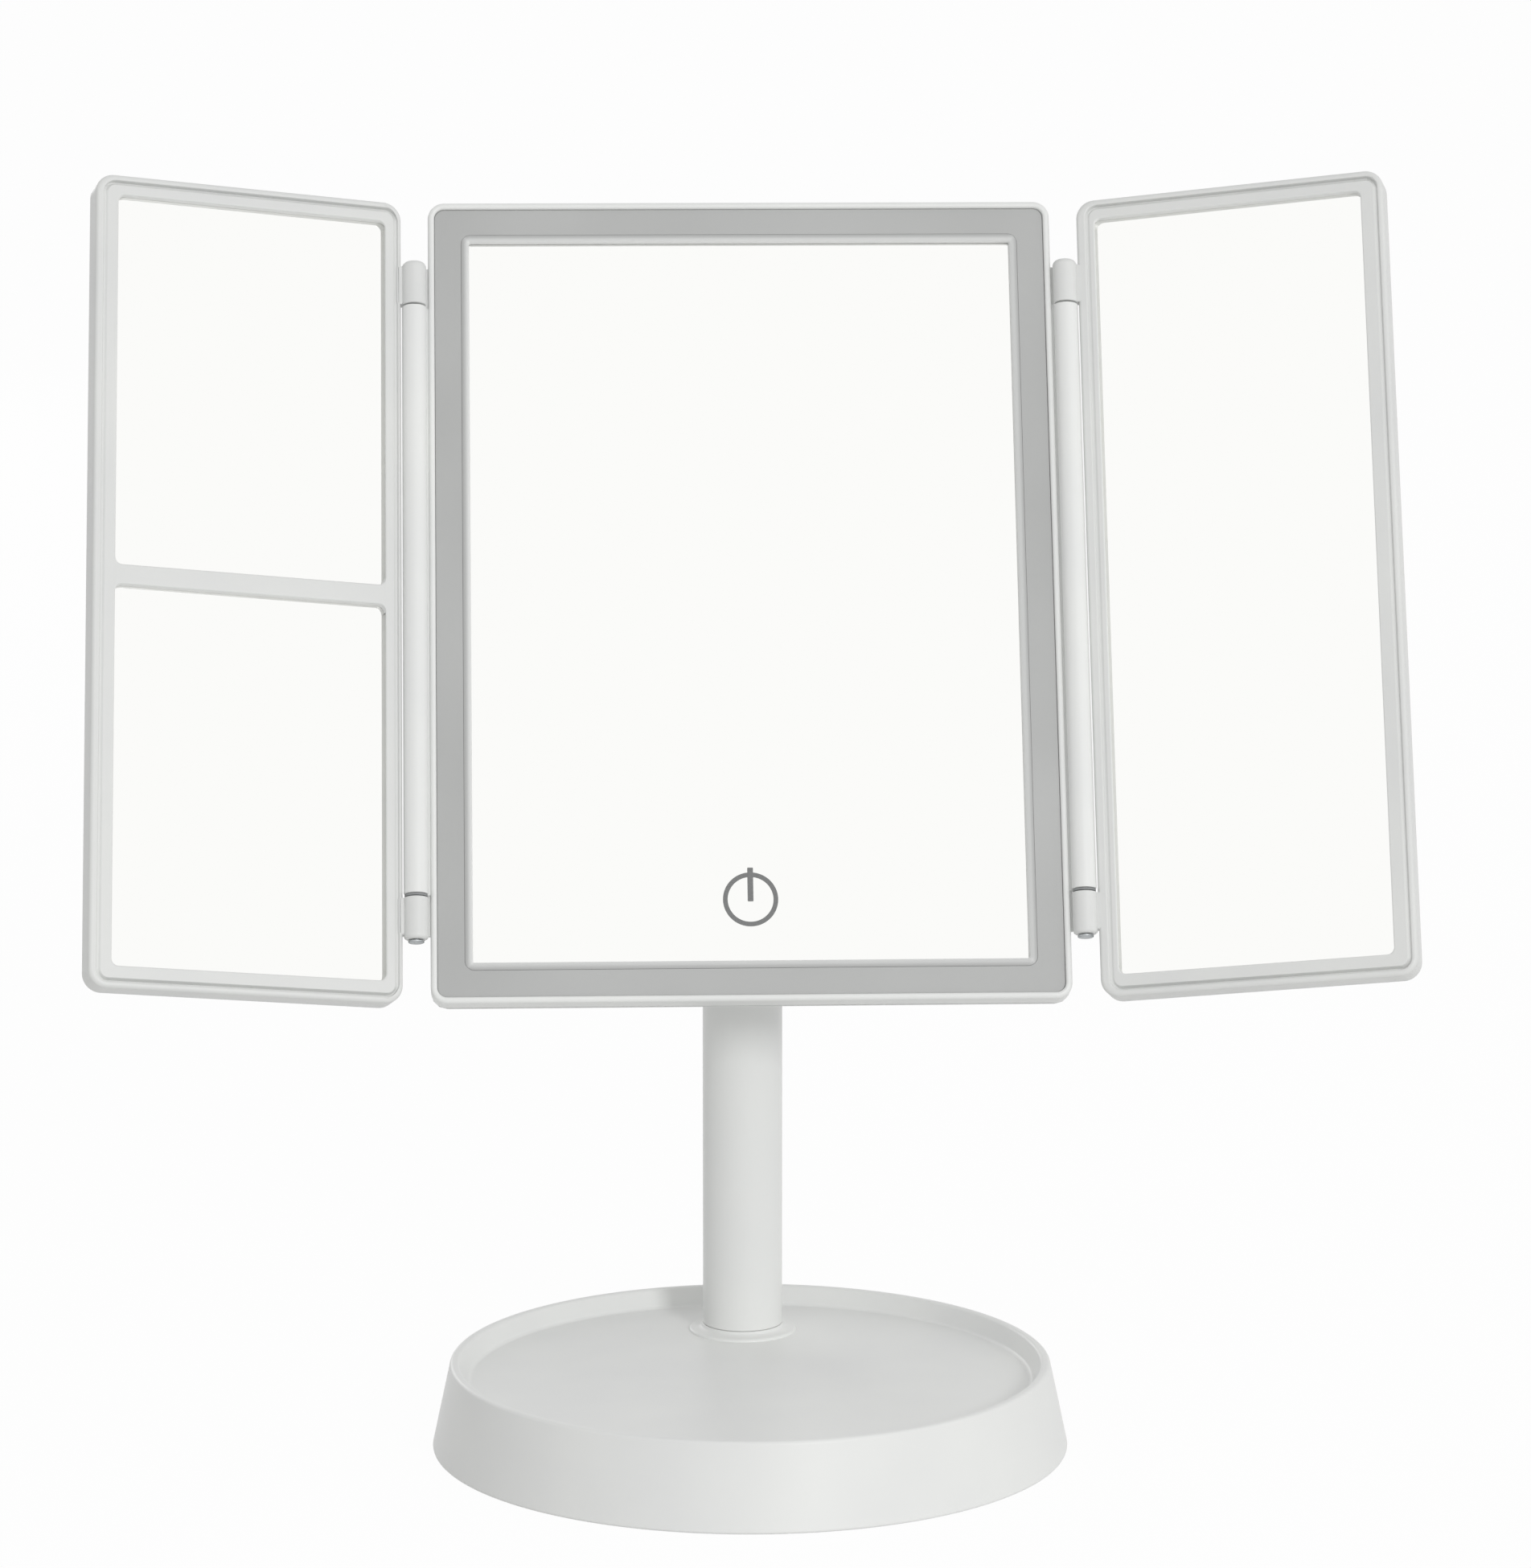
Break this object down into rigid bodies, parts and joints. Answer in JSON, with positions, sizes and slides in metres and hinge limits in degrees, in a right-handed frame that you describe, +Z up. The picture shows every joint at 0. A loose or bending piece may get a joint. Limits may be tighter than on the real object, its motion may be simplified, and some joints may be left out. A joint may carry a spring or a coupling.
{
  "type": "lighted makeup mirror",
  "caption": "Tabletop makeup mirror with a lit border round the centre panel, folding side wings, a touch switch, a tilting stem and a round tray base.",
  "frame": {"origin": "centre of the underside of the anti-slip pad, on the table", "axes": "+Z up, the mirror's front faces -Y, +X to the right as the mirror is looked at; the rest pose is the pictured one"},
  "size_m": [0.3189, 0.1564, 0.3089],
  "materials": {
    "white_abs": "white moulded ABS, satin gloss",
    "opal_acrylic": "opal acrylic light diffuser, unlit, fine matte",
    "silvered_glass": "polished silvered glass",
    "eva_foam": "closed-cell EVA foam, matte",
    "weight_steel": "raw steel plate",
    "zinc_steel": "zinc-plated steel screws",
    "plated_steel": "bright plated steel",
    "spring_steel": "nickel-plated spring steel",
    "cell_can": "sleeved dry cell, density set for a cell's real mass",
    "led_board": "white-masked light strip",
    "circuit_board": "green-masked circuit board",
    "nylon": "black nylon"
  },
  "bodies": {
    "stand": {"base_shell": "white_abs", "base_bottom_cover": "white_abs", "base_weight": "weight_steel", "anti_slip_pad": "eva_foam", "base_screw_1": "zinc_steel", "base_screw_2": "zinc_steel", "base_screw_3": "zinc_steel", "base_screw_4": "zinc_steel", "stem_tube": "white_abs", "stem_screw": "zinc_steel", "stem_head": "white_abs"},
    "panel": {"centre_frame": "white_abs", "light_diffuser": "opal_acrylic", "mirror_bezel": "white_abs", "centre_mirror": "silvered_glass", "mirror_backing": "eva_foam", "touch_sensor_pad": "spring_steel", "led_board_top": "led_board", "led_board_bottom": "led_board", "led_board_left": "led_board", "led_board_right": "led_board", "back_cover": "white_abs", "back_screw_1": "zinc_steel", "back_screw_2": "zinc_steel", "back_screw_3": "zinc_steel", "back_screw_4": "zinc_steel", "battery_1": "cell_can", "battery_2": "cell_can", "battery_3": "cell_can", "battery_4": "cell_can", "battery_contact_1": "spring_steel", "battery_contact_2": "spring_steel", "battery_contact_3": "spring_steel", "battery_contact_4": "spring_steel", "battery_contact_5": "spring_steel", "control_board": "circuit_board", "charging_socket": "plated_steel", "switch_can": "plated_steel", "tilt_axle": "plated_steel", "tilt_nut": "plated_steel", "tilt_washer_left": "nylon", "tilt_washer_right": "nylon", "left_hinge_pin_upper": "plated_steel", "left_hinge_pin_lower": "plated_steel", "right_hinge_pin_upper": "plated_steel", "right_hinge_pin_lower": "plated_steel"},
    "battery_door": {"battery_door": "white_abs"},
    "power_switch": {"power_switch": "nylon"},
    "left_wing": {"left_wing_frame": "white_abs", "left_upper_mirror": "silvered_glass", "left_lower_mirror": "silvered_glass", "left_wing_back": "white_abs"},
    "right_wing": {"right_wing_frame": "white_abs", "right_long_mirror": "silvered_glass", "right_wing_back": "white_abs"}
  },
  "joints": [
    {"name": "panel_tilt", "type": "hinge", "parent": "stand", "child": "panel", "pos_m": [0, 0.0455, 0.1987], "axis": [-1, 0, 0], "range_deg": [-23.7, 66.3]},
    {"name": "left_wing_fold", "type": "hinge", "parent": "panel", "child": "left_wing", "pos_m": [-0.0808, 0.02499, 0.2077], "axis": [0, 0.4019, 0.9157], "range_deg": [-17.3, 162.7]},
    {"name": "right_wing_fold", "type": "hinge", "parent": "panel", "child": "right_wing", "pos_m": [0.0808, 0.02499, 0.2077], "axis": [0, -0.4019, -0.9157], "range_deg": [-17.6, 162.4]},
    {"name": "battery_door_lift", "type": "slide", "parent": "panel", "child": "battery_door", "axis": [0, 0.9157, -0.4019], "range_m": [0, 0.03]},
    {"name": "power_switch_slide", "type": "slide", "parent": "panel", "child": "power_switch", "axis": [0, 0.4019, 0.9157], "range_m": [0, 0.003]}
  ]
}
